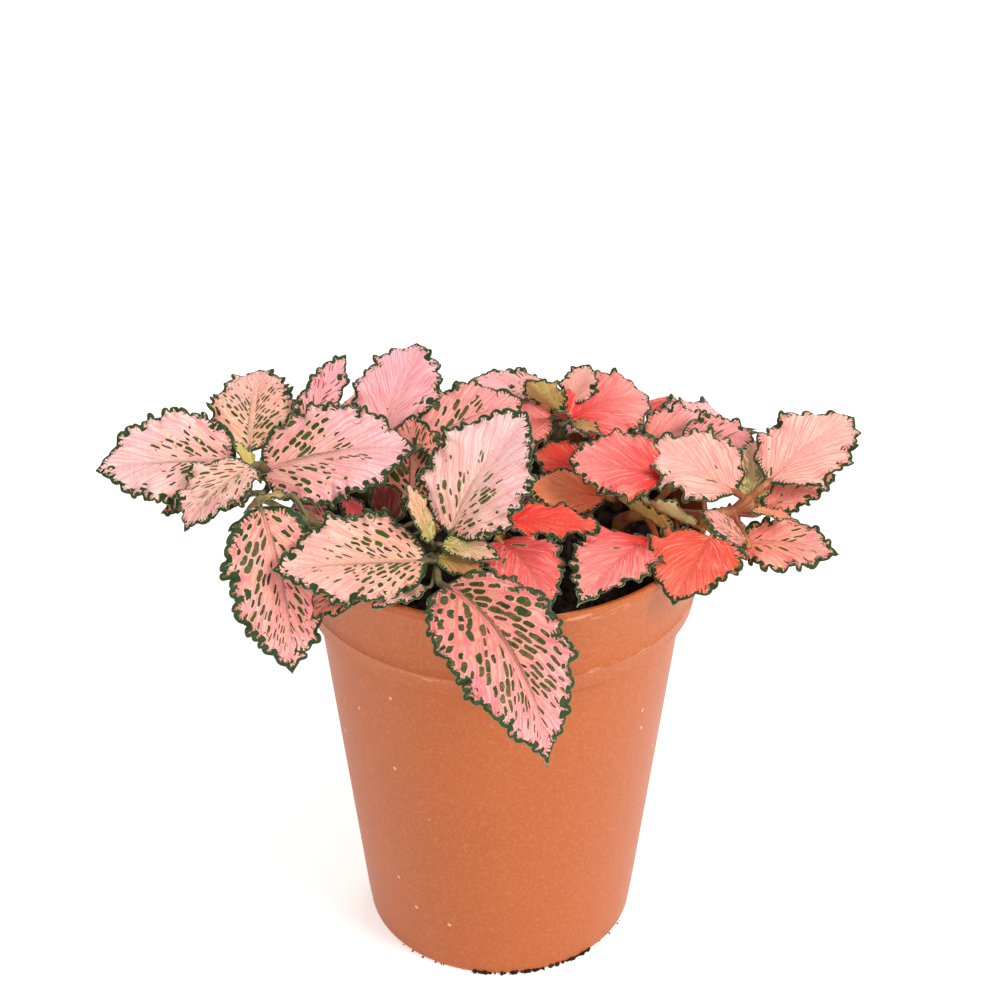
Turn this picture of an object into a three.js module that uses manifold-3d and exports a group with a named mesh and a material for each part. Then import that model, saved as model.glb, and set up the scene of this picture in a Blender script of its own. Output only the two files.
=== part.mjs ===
// Potted nerve plant (Fittonia): a thin plastic nursery pot filled with potting mix, and thirteen
// leafy shoots that stand in it. Millimetres, +Z up, the origin at the middle of the pot's foot.
import * as THREE from 'three';
import { mergeVertices } from 'three/addons/utils/BufferGeometryUtils.js';
import Module from 'manifold-3d';

const wasm = await Module();
wasm.setup();

// ---- driving dimensions, mm ----
const POT_HEIGHT = 108;
const RIM_RADIUS = 45; // outside of the lip
const RIDGE_RADIUS = 43.4; // faint ridge round the collar
const RIDGE_HEIGHT = 91.5;
const COLLAR_RADIUS = 42.9; // lower edge of the collar, which stands out from the body
const COLLAR_HEIGHT = 87.3;
const BODY_RADIUS = 40.6; // body just under the collar
const FOOT_RADIUS = 31;
const WALL = 1.1;
const FLOOR = 1.4;
const POT_SIDES = 48;
const DRAIN_SLOTS = 8; // in the floor, each as long as the way from the inner to the outer radius
const DRAIN_WIDTH = 5;
const DRAIN_INNER = 17;
const DRAIN_OUTER = 27;
const SOIL_HEIGHT = 100; // level of the potting mix, under the lip
const SOIL_GAP = 0.3; // from the mix to the wall and to each stem
const SOIL_SIDES = 30;
const STEM_RADIUS = 1.5;
const STEM_DEPTH = 14; // how far a stem goes down into the mix
const PETIOLE_RADIUS = 0.85;
const BLADE = 0.7; // thickness of a leaf

// ---- helpers ----
const RAD = Math.PI / 180;
const vec = (x, y, z) => new THREE.Vector3(x, y, z);

// a repeatable number from 0 to 1 for each pair of whole numbers
function draw(i, j) {
  const s = Math.sin(12.9898 * i + 78.233 * j) * 43758.5453;
  return s - Math.floor(s);
}

// closed three.js geometry to solid, and back
function solid(geometry) {
  const bare = geometry.clone();
  bare.deleteAttribute('normal');
  bare.deleteAttribute('uv');
  const merged = mergeVertices(bare, 1e-4);
  return new wasm.Manifold(
    new wasm.Mesh({
      numProp: 3,
      vertProperties: new Float32Array(merged.attributes.position.array),
      triVerts: new Uint32Array(merged.index.array),
    }),
  );
}

function geometryOf(shape) {
  const mesh = shape.getMesh();
  const geometry = new THREE.BufferGeometry();
  geometry.setAttribute('position', new THREE.BufferAttribute(new Float32Array(mesh.vertProperties), 3));
  geometry.setIndex(new THREE.BufferAttribute(new Uint32Array(mesh.triVerts), 1));
  geometry.computeVertexNormals();
  return geometry;
}

function turned(profile, sides) {
  const geometry = new THREE.LatheGeometry(profile.map(([r, z]) => new THREE.Vector2(r, z)), sides);
  return geometry.rotateX(Math.PI / 2);
}

// round rod along a curve
function rod(points, radius, sides, steps) {
  const circle = new THREE.Shape();
  for (let k = 0; k < sides; k += 1) {
    const a = (2 * Math.PI * k) / sides;
    if (k === 0) circle.moveTo(radius, 0);
    else circle.lineTo(radius * Math.cos(a), radius * Math.sin(a));
  }
  circle.closePath();
  const path = new THREE.CatmullRomCurve3(points, false, 'centripetal');
  return new THREE.ExtrudeGeometry(circle, { steps, extrudePath: path, bevelEnabled: false });
}

// ---- a leaf ----
// The midrib starts at the leaf's base and runs along its heading, rising by 'rise' degrees and
// drooping by 'droop' on its way to the tip, with the two halves of the blade raised by 'cup'.
// 'roll' turns the blade round its midrib, left side up. The margin has a tooth at every second
// step, and neighbouring teeth are waved up and down.
const AXIS_STEPS = 48;

function midrib(leaf) {
  const line = [leaf.base.clone()];
  const frames = [];
  for (let k = 0; k <= AXIS_STEPS; k += 1) {
    const u = k / AXIS_STEPS;
    const pitch = (leaf.rise - leaf.droop * u) * RAD;
    const heading = (leaf.heading + leaf.bend * u) * RAD;
    const along = vec(
      Math.cos(pitch) * Math.cos(heading),
      Math.cos(pitch) * Math.sin(heading),
      Math.sin(pitch),
    );
    const left = vec(-Math.sin(heading), Math.cos(heading), 0);
    const up = along.clone().cross(left);
    const r = leaf.roll * RAD;
    frames.push({
      along,
      left: left.clone().multiplyScalar(Math.cos(r)).addScaledVector(up, Math.sin(r)),
      up: up.clone().multiplyScalar(Math.cos(r)).addScaledVector(left, -Math.sin(r)),
    });
    if (k > 0) {
      const last = frames[k - 1].along.clone().add(along).normalize();
      line.push(line[k - 1].clone().addScaledVector(last, leaf.length / AXIS_STEPS));
    }
  }
  return { line, frames };
}

// half the width at u along the leaf, as a share of its widest, with 'point' for how far the tip
// is drawn out
const SHOULDER = 0.5;
const TAPER = 0.7;
const POINT = 0.3; // most leaves
const WIDEST = SHOULDER / (SHOULDER + TAPER);
const outline = (u, point) =>
  (u / WIDEST) ** SHOULDER * ((1 - u) / (1 - WIDEST)) ** TAPER * (1 - u ** 6) ** point;

// depth of the tooth and height of the wave at step k of the margin
function tooth(leaf, side, k) {
  if (k % 2 === 0) return { reach: -0.05, lift: 0 };
  const n = (k - 1) / 2;
  const flip = (n + (side > 0 ? leaf.seed : leaf.seed + 1)) % 2 === 0 ? 1 : -1;
  return {
    reach: 0.04 + 0.1 * draw(n + 3 * side, leaf.seed),
    lift: flip * leaf.wave * (0.35 + 0.65 * draw(n + 31 + 7 * side, leaf.seed)),
  };
}

// the net of the blade: midrib, a line inside each margin, and the toothed margins
function bladeNet(leaf, { line, frames }) {
  const steps = leaf.length >= 34 ? 16 : leaf.length >= 18 ? 12 : 8;
  const cup = leaf.cup * RAD;
  const points = [];
  const faces = [];
  const put = (k, side, share) => {
    const j = Math.round((k / steps) * AXIS_STEPS);
    const wide = outline(k / steps, leaf.point);
    const { reach, lift } = side === 0 ? { reach: 0, lift: 0 } : tooth(leaf, side, k);
    const half = (leaf.width / 2) * wide * (1 + reach * share);
    const rise = half * (share * Math.sin(cup) - leaf.curl * share ** 3);
    const point = line[j].clone().addScaledVector(frames[j].left, side * half * share * Math.cos(cup));
    point.addScaledVector(frames[j].up, rise + lift * Math.sqrt(wide) * share ** 2.5);
    return points.push(point) - 1;
  };
  const mid = [];
  for (let k = 0; k <= steps; k += 2) mid.push(put(k, 0, 0));
  const last = mid.length - 1;
  const margins = [1, -1].map((side) => {
    const inner = mid.map((id, n) => (n === 0 || n === last ? id : put(2 * n, side, 0.55)));
    const edge = [mid[0]];
    for (let k = 1; k < steps; k += 1) edge.push(put(k, side, 1));
    edge.push(mid[last]);
    const tri = (a, b, c) => {
      if (a === b || b === c || a === c) return;
      faces.push(side > 0 ? [a, b, c] : [a, c, b]);
    };
    for (let n = 0; n < last; n += 1) {
      tri(mid[n], mid[n + 1], inner[n + 1]);
      tri(mid[n], inner[n + 1], inner[n]);
      tri(inner[n], edge[2 * n + 1], edge[2 * n]);
      tri(inner[n], inner[n + 1], edge[2 * n + 1]);
      tri(inner[n + 1], edge[2 * n + 2], edge[2 * n + 1]);
    }
    return edge;
  });
  return { points, faces, rim: [...margins[0], ...margins[1].slice(1, -1).reverse()] };
}

// One closed skin: the blade, whose two faces lie half its thickness from the net and are split
// alike, and the stalk, a four-sided tube from the leaf's base back to 'start' inside the stem.
function leafGeometry(leaf, start) {
  const rib = midrib(leaf);
  const { points, faces, rim } = bladeNet(leaf, rib);
  const normals = points.map(() => vec(0, 0, 0));
  for (const [a, b, c] of faces) {
    const n = points[b].clone().sub(points[a]).cross(points[c].clone().sub(points[a]));
    for (const i of [a, b, c]) normals[i].add(n);
  }
  const radius = leaf.length < 18 ? 0.6 : PETIOLE_RADIUS;
  const { along, left, up } = rib.frames[0];
  normals[0].copy(up);
  const skin = [];
  for (const sign of [1, -1]) {
    points.forEach((point, i) => {
      const offset = sign * (i === 0 ? radius : BLADE / 2);
      skin.push(point.clone().addScaledVector(normals[i].clone().normalize(), offset));
    });
  }
  const below = points.length; // what is added to a vertex of the upper face for the one under it
  const index = [];
  for (const [a, b, c] of faces) index.push(a, b, c, a + below, c + below, b + below);
  for (let n = 1; n < rim.length - 1; n += 1) {
    const [a, b] = [rim[n], rim[n + 1]];
    index.push(a, b, b + below, a, b + below, a + below);
  }
  const leftCorner = skin.push(leaf.base.clone().addScaledVector(left, radius)) - 1;
  const rightCorner = skin.push(leaf.base.clone().addScaledVector(left, -radius)) - 1;
  const [l, r] = [rim[1], rim[rim.length - 1]];
  index.push(leftCorner, 0, l, leftCorner, l, l + below, leftCorner, l + below, below);
  index.push(rightCorner, below, r + below, rightCorner, r + below, r, rightCorner, r, 0);

  const before = leaf.base.clone().addScaledVector(along, leaf.length < 18 ? -1 : -2);
  const path = new THREE.CatmullRomCurve3([start, before, leaf.base], false, 'centripetal');
  let ring = [0, leftCorner, below, rightCorner];
  const parts = leaf.length < 18 ? 2 : 3;
  for (let n = 1; n <= parts; n += 1) {
    const at = path.getPoint(1 - n / parts);
    const ahead = path.getTangent(1 - n / parts);
    const side = left.clone().addScaledVector(ahead, -left.dot(ahead)).normalize();
    const top = ahead.clone().cross(side);
    const corners = [
      [top, radius],
      [side, radius],
      [top, -radius],
      [side, -radius],
    ];
    const next = corners.map(([way, r0]) => skin.push(at.clone().addScaledVector(way, r0)) - 1);
    for (let c = 0; c < 4; c += 1) {
      const d = (c + 1) % 4;
      index.push(ring[c], ring[d], next[d], ring[c], next[d], next[c]);
    }
    ring = next;
  }
  index.push(ring[0], ring[1], ring[2], ring[0], ring[2], ring[3]);

  const geometry = new THREE.BufferGeometry();
  geometry.setAttribute('position', new THREE.Float32BufferAttribute(skin.flatMap((q) => q.toArray()), 3));
  geometry.setIndex(index);
  return geometry;
}

// ---- the shoots ----
// leaf(x, y, z of the base, heading, rise, droop, roll, length, width, options)
let leafCount = 0;
function leaf(x, y, z, heading, rise, droop, roll, length, width, options = {}) {
  if (!options.seed) leafCount += 1;
  return {
    base: vec(x, y, z),
    heading,
    rise,
    droop,
    roll,
    length,
    width,
    bend: 0,
    cup: 14,
    curl: 0.12,
    wave: length > 20 ? 2 : length > 14 ? 1.4 : 0.8,
    point: POINT,
    joint: 0.97, // where its stalk leaves the stem, as a share of the stem's length
    seed: leafCount,
    ...options,
  };
}

const SHOOTS = {
  shoot_left: {
    stem: [[-26, 4], [-29, 3, 109], [-38, 0, 114], [-50, -4, 117]],
    leaves: [
      leaf(-56, -4, 121, 183, 8, 22, -32, 30, 22, { point: 0.5 }),
      leaf(-53.5, -1, 121.5, 91, 14, 20, 0, 33, 18),
      leaf(-52, -9, 122.5, 224, 4, 55, 0, 21, 16, { point: 0.7 }),
      leaf(-50.5, -5.5, 119, 4, 17, 18, 28, 33.8, 24, { point: 0.6 }),
      leaf(-44, 3, 120, 66, 32, 15, 35, 27, 9),
      leaf(-52, -9, 116, 192, 3, 20, 0, 20, 11),
      leaf(-34, -2, 111, 310, -20, 10, 10, 11, 5, { joint: 0.6 }),
      leaf(-52, -5, 119, 160, 55, 0, 0, 8, 4.5, { seed: 62 }),
    ],
  },
  shoot_side: {
    stem: [[-28, -14], [-31, -16, 106], [-40, -20, 116]],
    leaves: [
      leaf(-49.3, -22, 120.5, 292, -38, 45, 0, 36, 21.5, { point: 0.7 }),
      leaf(-44, -18, 121, 200, 5, 40, 20, 10, 8),
      leaf(-34, -12, 108.5, 140, 8, 8, 10, 14, 9, { joint: 0.7, seed: 61 }),
    ],
  },
  shoot_front: {
    stem: [[-12, -12], [-13, -18, 106], [-13, -24, 111]],
    leaves: [
      leaf(-15, -29, 112, 190, 8, 12, -25, 32, 22, { point: 0.8 }),
      leaf(-10, -24, 115, 37, 60, 22, 15, 30, 24),
      leaf(-11, -37, 111, 308, 5, 85, 8, 46, 26, { point: 1.1 }),
      leaf(-14, -25, 114, 155, 65, 0, 0, 14, 7),
      leaf(-12, -26, 114, 342, 5, 20, 20, 13, 6),
      leaf(-13, -28, 112, 341, 0, 15, 20, 11, 6),
      leaf(-15, -36, 110, 202, 0, 20, 0, 12, 7),
      leaf(-24, -33, 110, 201, 3, 50, 0, 17, 13),
    ],
  },
  shoot_rear_left: {
    stem: [[-14, 10], [-17, 9, 110], [-20, 8, 117]],
    leaves: [
      leaf(-25, 8, 121, 74, 30, 15, 0, 26, 19),
      leaf(-18, 5, 119, 30, 14, 8, 30, 27, 19),
      leaf(-19, 1, 107, 88, 65, -5, 0, 20, 15, { joint: 0.6 }),
    ],
  },
  shoot_rear: {
    stem: [[10, 14], [12, 17, 110], [14, 19, 119]],
    leaves: [
      leaf(12, 18, 119, 190, 3, 15, -30, 22, 16),
      leaf(13, 18, 121, 185, 48, 0, 60, 11, 10),
      leaf(16, 21, 121, 60, 45, 10, 0, 10, 9),
      leaf(15, 17, 119, 32, 9, 20, 28, 22, 19),
      leaf(11, 22, 123, 172, 12, 10, -20, 18, 9),
      leaf(16, 16, 119, 320, 10, 20, 0, 8, 5),
      leaf(14, 16.5, 119.5, 255, 45, 0, 0, 7, 4),
    ],
  },
  shoot_rear_right: {
    stem: [[26, 12], [29, 14, 108], [32, 16, 113]],
    leaves: [
      leaf(32, 17.3, 113.6, 16, 10, 5, 25, 17, 13),
      leaf(40, 12, 116, 6, 6, 10, 25, 16, 13),
    ],
  },
  shoot_middle: {
    stem: [[19, 3], [20, 4, 106], [21, 5, 109]],
    leaves: [
      leaf(23, 0, 109.5, 172, 8, 10, -30, 18, 11),
      leaf(20, 8, 111, 160, 15, 10, -15, 14, 12),
    ],
  },
  shoot_near_right: {
    stem: [[3, -8], [2, -9, 104], [0, -11, 107]],
    leaves: [
      leaf(0, -15, 107.5, 291, 20, 38, 0, 29, 17, { point: 0.7 }),
      leaf(1, -9, 109, 354, 5, 12, 5, 21, 12),
    ],
  },
  shoot_right: {
    stem: [[26, 0], [32, -4, 108], [44, -10, 111], [51, -9, 112]],
    leaves: [
      leaf(50, -7, 115, 148, 25, 25, -12, 22, 20),
      leaf(57, -6, 117, 38, 21, 10, 10, 26, 20),
      leaf(53.5, -7, 113, 84, 26, 5, 0, 16, 11),
      leaf(56, -9, 112, 24, 20, 12, 10, 18, 10),
      leaf(53, -11, 113, 340, 5, 15, 0, 10, 4),
      leaf(52, -15, 107, 165, 38, 10, 0, 12, 12),
      leaf(51, -13, 106, 348, 8, 16, 22, 21, 14, { point: 0.6 }),
      leaf(60, 1, 111, 80, 4, 10, 0, 20, 10),
      leaf(35, -4, 117, 168, 14, 18, -25, 21, 17, { joint: 0.55 }),
      leaf(36, 0, 113, 110, 35, 10, 0, 13, 9, { joint: 0.55 }),
      leaf(32, -15, 108, 238, 22, 40, 0, 32, 18, { joint: 0.55, point: 1.1 }),
      leaf(44, -19, 111.3, 243, 9, 50, 0, 21, 20, { joint: 0.8, point: 0.9 }),
      leaf(37, -11, 107, 137, 12, 5, 65, 17, 9, { joint: 0.7 }),
      leaf(42, -12.5, 110, 148, 8, 8, 60, 16, 9, { joint: 0.8 }),
    ],
  },
  shoot_back_left: {
    stem: [[-18, 24], [-21, 28, 107], [-24, 31, 110]],
    leaves: [
      leaf(-28, 36, 110, 138, -8, 45, 0, 28, 20),
      leaf(-30, 29, 110, 190, 5, 35, 0, 26, 15),
      leaf(-21, 36, 110, 84, 0, 55, 0, 28, 17),
    ],
  },
  shoot_back: {
    stem: [[5, 28], [6, 31, 106], [7, 34, 109]],
    leaves: [
      leaf(4, 38, 111, 112, 0, 65, 0, 30, 17),
      leaf(9, 38, 110, 62, -3, 55, 0, 28, 17),
      leaf(2, 34, 112, 200, 5, 25, 0, 19, 14),
      leaf(12, 33, 112, 325, 5, 25, 0, 19, 14),
    ],
  },
  shoot_back_right: {
    stem: [[26, 23], [29, 25, 107], [33, 28, 110]],
    leaves: [
      leaf(38, 31, 110, 36, 3, 60, 0, 30, 17),
      leaf(32, 35, 110, 88, -4, 50, 0, 27, 16),
      leaf(37, 24, 110, 343, 5, 45, 0, 24, 13),
    ],
  },
  shoot_centre: {
    stem: [[-6, 2], [-6, 4, 105], [-7, 5, 108]],
    leaves: [
      leaf(-6, 9, 109, 80, 10, 25, 0, 17, 13),
      leaf(-8, 1, 108, 242, 5, 20, 0, 13, 10),
      leaf(-3, 3, 106.5, 5, -2, 10, 0, 14, 10),
      leaf(-23, -6, 106.5, 118, 48, 0, 0, 10, 8),
      leaf(-20, -8, 105, 168, 0, 5, 0, 15, 9),
    ],
  },
};

// a stem stands upright in the mix and bends above it
function stemPath(stem) {
  const [[x, y], ...rest] = stem;
  const foot = [-STEM_DEPTH, -STEM_DEPTH / 2, -1, 3].map((z) => vec(x, y, SOIL_HEIGHT + z));
  return [...foot, ...rest.map((p) => vec(...p))];
}

function shootSolid({ stem, leaves }) {
  const path = stemPath(stem);
  const curve = new THREE.CatmullRomCurve3(path, false, 'centripetal');
  let shape = solid(rod(path, STEM_RADIUS, 6, 6));
  for (const item of leaves) {
    shape = shape.add(solid(leafGeometry(item, curve.getPointAt(item.joint))));
  }
  return shape;
}

// ---- the pot ----
function potSolid() {
  const lean = (BODY_RADIUS - FOOT_RADIUS) / COLLAR_HEIGHT;
  const profile = [
    [0, 0],
    [FOOT_RADIUS - 0.8, 0],
    [FOOT_RADIUS, 0.8],
    [BODY_RADIUS, COLLAR_HEIGHT - 0.4],
    [COLLAR_RADIUS - 0.3, COLLAR_HEIGHT],
    [COLLAR_RADIUS, COLLAR_HEIGHT + 0.4],
    [RIDGE_RADIUS, RIDGE_HEIGHT - 0.4],
    [RIDGE_RADIUS + 0.25, RIDGE_HEIGHT],
    [RIDGE_RADIUS + 0.1, RIDGE_HEIGHT + 0.5],
    [RIM_RADIUS - 0.3, POT_HEIGHT - 2.4],
    [RIM_RADIUS, POT_HEIGHT - 1.8],
    [RIM_RADIUS, POT_HEIGHT - 0.4],
    [RIM_RADIUS - 0.4, POT_HEIGHT],
    [RIM_RADIUS - WALL + 0.2, POT_HEIGHT],
    [RIM_RADIUS - WALL - 0.2, POT_HEIGHT - 0.5],
    [COLLAR_RADIUS - WALL, COLLAR_HEIGHT + 2],
    [BODY_RADIUS - WALL, COLLAR_HEIGHT - 1.4],
    [FOOT_RADIUS - WALL + lean * FLOOR, FLOOR],
    [0, FLOOR],
  ];
  let pot = solid(turned(profile, POT_SIDES));
  for (let k = 0; k < DRAIN_SLOTS; k += 1) {
    pot = pot.subtract(solid(drainBlock(k, 0, -1, FLOOR + 1)));
  }
  return pot;
}

// block where drain slot k is, smaller than the slot by 'inset' on each side
function drainBlock(k, inset, low, high) {
  const long = DRAIN_OUTER - DRAIN_INNER;
  const block = new THREE.BoxGeometry(long - 2 * inset, DRAIN_WIDTH - 2 * inset, high - low);
  block.translate((DRAIN_INNER + DRAIN_OUTER) / 2, 0, (low + high) / 2);
  return block.rotateZ(((k + 0.5) * 2 * Math.PI) / DRAIN_SLOTS);
}

// ---- the potting mix ----
function soilSolid() {
  const gap = WALL + SOIL_GAP;
  const lean = (BODY_RADIUS - FOOT_RADIUS) / COLLAR_HEIGHT;
  const top = SOIL_HEIGHT;
  const wallAt = COLLAR_RADIUS - gap + 0.6;
  const profile = [
    [0, FLOOR + SOIL_GAP],
    [FOOT_RADIUS - gap - 0.1 + lean * FLOOR, FLOOR + SOIL_GAP],
    [BODY_RADIUS - gap, COLLAR_HEIGHT - 1.6],
    [COLLAR_RADIUS - gap, COLLAR_HEIGHT + 2],
    [wallAt, top - 1],
    [wallAt - 2, top - 0.3],
    [32, top],
    [21, top],
    [0, top],
  ];
  const lathe = turned(profile, SOIL_SIDES);
  lathe.deleteAttribute('normal');
  lathe.deleteAttribute('uv');
  const geometry = mergeVertices(lathe, 1e-4);
  const p = geometry.attributes.position;
  for (let i = 0; i < p.count; i += 1) {
    if (p.getZ(i) > top - 0.6) {
      const lump = 1.6 * (draw(Math.round(p.getX(i) * 7), Math.round(p.getY(i) * 7)) - 0.5);
      p.setZ(i, p.getZ(i) + lump);
    }
  }
  let soil = solid(geometry);
  for (let k = 0; k < DRAIN_SLOTS; k += 1) {
    soil = soil.add(solid(drainBlock(k, SOIL_GAP, FLOOR / 2, FLOOR + 2)));
  }
  const holeRadius = STEM_RADIUS + SOIL_GAP;
  const holeHeight = STEM_DEPTH + 8;
  for (const { stem } of Object.values(SHOOTS)) {
    const [x, y] = stem[0];
    const hole = new THREE.CylinderGeometry(holeRadius, holeRadius, holeHeight, 10);
    hole.rotateX(Math.PI / 2).translate(x, y, top - STEM_DEPTH - SOIL_GAP + holeHeight / 2);
    soil = soil.subtract(solid(hole));
  }
  return soil;
}

// ---- the object ----
const root = new THREE.Group();

function place(name, shape, color, roughness) {
  const material = new THREE.MeshStandardMaterial({ color, roughness, metalness: 0 });
  const mesh = new THREE.Mesh(geometryOf(shape), material);
  mesh.name = name;
  root.add(mesh);
}

place('pot', potSolid(), 0xc9713f, 0.55);
place('soil', soilSolid(), 0x2a1d16, 0.95);
for (const [name, shoot] of Object.entries(SHOOTS)) {
  place(name, shootSolid(shoot), 0xf19a9a, 0.6);
}

export default root;
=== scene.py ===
"""Looks of the potted nerve plant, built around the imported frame.

The leaves, stems, pot and potting mix are finer forms of the frame's nodes. Forms are worked out
in millimetres, in the frame's axes, and made in metres.
"""

import math

import bpy
import numpy as np
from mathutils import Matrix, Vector


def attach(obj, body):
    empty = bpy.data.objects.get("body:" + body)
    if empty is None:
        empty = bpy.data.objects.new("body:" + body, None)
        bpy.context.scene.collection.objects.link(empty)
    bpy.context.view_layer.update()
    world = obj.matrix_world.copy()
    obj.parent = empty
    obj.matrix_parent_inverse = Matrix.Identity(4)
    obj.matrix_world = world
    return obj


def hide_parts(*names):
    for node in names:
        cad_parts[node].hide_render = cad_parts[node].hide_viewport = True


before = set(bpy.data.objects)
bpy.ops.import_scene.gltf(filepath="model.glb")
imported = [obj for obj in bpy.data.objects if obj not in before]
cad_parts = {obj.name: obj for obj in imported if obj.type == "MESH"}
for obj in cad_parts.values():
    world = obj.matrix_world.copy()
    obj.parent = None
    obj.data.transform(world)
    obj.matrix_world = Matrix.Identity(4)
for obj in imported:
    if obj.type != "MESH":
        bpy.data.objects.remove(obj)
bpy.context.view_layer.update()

MM = 0.001
UP = np.array([0.0, 0.0, 1.0])

# ---- camera ----
CAMERA_TARGET = Vector((0, 0, 0.1089))
CAMERA_DISTANCE = 0.486
CAMERA_ELEVATION = math.radians(31.36)
CAMERA_LENS = 80.8

# ---- pot and potting mix, mm ----
POT_HEIGHT = 108
RIM_RADIUS = 45
RIDGE_RADIUS = 43.4
RIDGE_HEIGHT = 91.5
COLLAR_RADIUS = 42.9
COLLAR_HEIGHT = 87.3
BODY_RADIUS = 40.6
FOOT_RADIUS = 31
WALL = 1.1
FLOOR = 1.4
POT_SIDES = 192
DRAIN_SLOTS = 8
DRAIN_WIDTH = 5
DRAIN_INNER = 17
DRAIN_OUTER = 27
SOIL_HEIGHT = 100
SOIL_GAP = 0.3
LEAN = (BODY_RADIUS - FOOT_RADIUS) / COLLAR_HEIGHT
STEM_RADIUS = 1.5
STEM_DEPTH = 14
HAIRS_PER_MM = 5
PETIOLE_RADIUS = 0.85

# ---- leaf, mm ----
BLADE = 0.45
CUP = math.radians(14)  # how steeply the halves rise from the midrib
CURL = 0.12  # and how much their margins turn down again
SMALL_LEAF = 18  # a shorter leaf has a thinner stalk
FULL_LEAF = 30  # from this length on, veins and margin are at full size
SCALLOP = 1.9  # from one scallop of the margin to the next
SIDE_VEINS = 9  # along the whole leaf, on each side
OTHER_SIDE = 20.4  # added to the side veins' count on the left half, so that the halves differ
FAN_START = 1.15  # how far forward a side vein runs for each mm outward, at the leaf's base
FAN_GAIN = 3.0  # and how much more at the tip
AXIS_STEPS = 192
SHOULDER = 0.5
TAPER = 0.7
POINT = 0.3  # how far the tip of most leaves is drawn out
WIDEST = SHOULDER / (SHOULDER + TAPER)

# ---- loose peat ----
MIX_CRUMBS = 900
FOOT_CRUMBS = 110
COARSE_FOOT_CRUMBS = 80


def draw(i, j):
    """A repeatable number from 0 to 1 for each pair of whole numbers."""
    s = math.sin(12.9898 * i + 78.233 * j) * 43758.5453
    return s - math.floor(s)


def rgb(code):
    """An sRGB colour of six hexadecimal digits as linear red, green and blue."""
    def linear(c):
        c /= 255
        return c / 12.92 if c <= 0.04045 else ((c + 0.055) / 1.055) ** 2.4
    return tuple(linear(c) for c in bytes.fromhex(code))


# ---- looks of a leaf ----
PALE_GREEN = (0.8, 0.62, 0.3)  # linear, round the flecks and along the margin

# 'base' and 'tip' are the blade's colours, 'under' its lower face. 'flecks' is the share of cells
# between the veins that are green, 'spread' how far along the leaf they go, 'rows' how many rows of
# them lie between two side veins and 'size' how much of its cell a fleck fills. 'margin' is the
# width of the green edge in mm.
def look(base, tip, flecks=0.1, spread=0.6, rows=3, size=0.4, margin=1.1, under="c48470"):
    return rgb(base), rgb(tip), rgb(under), flecks, spread, rows, size, margin


LOOKS = {
    # pale leaves with flecks
    "pale": look("f4c6ba", "ffd8d4", 0.6, 0.55, 2.6),
    "cream": look("eeb8a0", "ffcabe", 0.8, 0.65, 2.4),
    "lime": look("f2c4a0", "ffc4b8", 0.8, 0.75, 2.2, 0.42),
    "salmon": look("fad0b8", "ffd0c6", 0.65, 0.8, 2.4),
    "pink": look("f0aca6", "ffcacc", 0.7, 0.6, 2.4),
    "rosy": look("ec9692", "fcacac", 0.6, 0.8, 1.6, 0.6),
    "clean": look("fab4b2", "fec0c8", 0.08, 0.4),
    "blush": look("f08076", "ffbcb6", 0.04, 0.4),
    "bare": look("f8b0a0", "ffc8ba", 0.06, 0.4),
    # rose leaves with green islands between their veins
    "netted": look("e88480", "ffa4a8", 0.76, 1.0, 2.2, 0.75, 1.3),
    "hanging": look("f6a89e", "ffacac", 0.75, 0.95, 2.2, 0.5, 1.5),
    "streaked": look("ee9ea6", "fdb2be", 0.6, 1.1, 2, 0.55),
    "dusky": look("f09c84", "f4a090", 0.9, 1.4, 1.3, 1.0),
    # red leaves
    "deep": look("e65460", "fa6c7c", 0.05, 0.3),
    "flame": look("ec2c2c", "ffa098", 0.05, 0.3, margin=0.9),
    "red": look("ec402c", "ff7a62", 0.05, 0.3),
    "scarlet": look("f8342a", "ff5c48", 0, under="a03c30"),
    "ember": look("ce1c1e", "ff7c74", 0.12, 0.6, 2.2, 0.3, 0.9),
    "glow": look("ff784a", "ffa470", 0, margin=0.8),
    # red leaves painted almost black on both faces: painted shade for the shadow low among the
    # stems
    "red_in_painted_shade": look("601a14", "8c281e", 0, under="501814"),
    "coral": look("f6967e", "ffb0a6", 0.35, 0.9, 1.8, 0.5, 1.3),
    "shrimp": look("ecaa7c", "fc9480", 0.1, 0.8, margin=0.8, under="dc7860"),
    # young leaves, and leaves that show their lower face
    "young": look("bac46c", "f4c0a6", 0.75, 1.1, 2.6, 0.35, 0.8),
    "olive": look("969242", "d68c5a", 0.3, 0.9, size=0.3, margin=0.8),
    "sprout": look("ccd45c", "d8ce78", 0.2, 0.9, size=0.3, margin=0.6),
    "turned": look("c8ba64", "ce9660", 0.25, under="e2dc88"),
    "ochre": look("e27854", "ec6e5a", 0, margin=0.7, under="ffde78"),
    "leek": look("e29664", "ec966e", 0, margin=0.7, under="ffffb2"),
}

leaf_count = 0


def leaf(x, y, z, heading, rise, droop, roll, length, width, dress, **options):
    """A leaf: its base in mm, the way its midrib runs in degrees, its size in mm and its look.

    It rises by 'rise' at its base and droops by 'droop' on its way to the tip. 'roll' turns the
    blade round its midrib, left side up. Its stalk leaves the stem at 'joint', a share of it.
    """
    global leaf_count
    leaf_count += "seed" not in options
    made = {
        "base": np.array([x, y, z], float),
        "heading": math.radians(heading),
        "rise": rise,
        "droop": droop,
        "roll": math.radians(roll),
        "length": length,
        "width": width,
        "point": POINT,
        "joint": 0.97,
        "seed": leaf_count,
        "look": LOOKS[dress],
    }
    return made | options


SHOOTS = {}


def shoot(name, stem, *leaves):
    """A shoot: where its stem stands in the mix, the points in mm it bends through, its leaves."""
    SHOOTS[name] = stem, leaves


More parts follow.
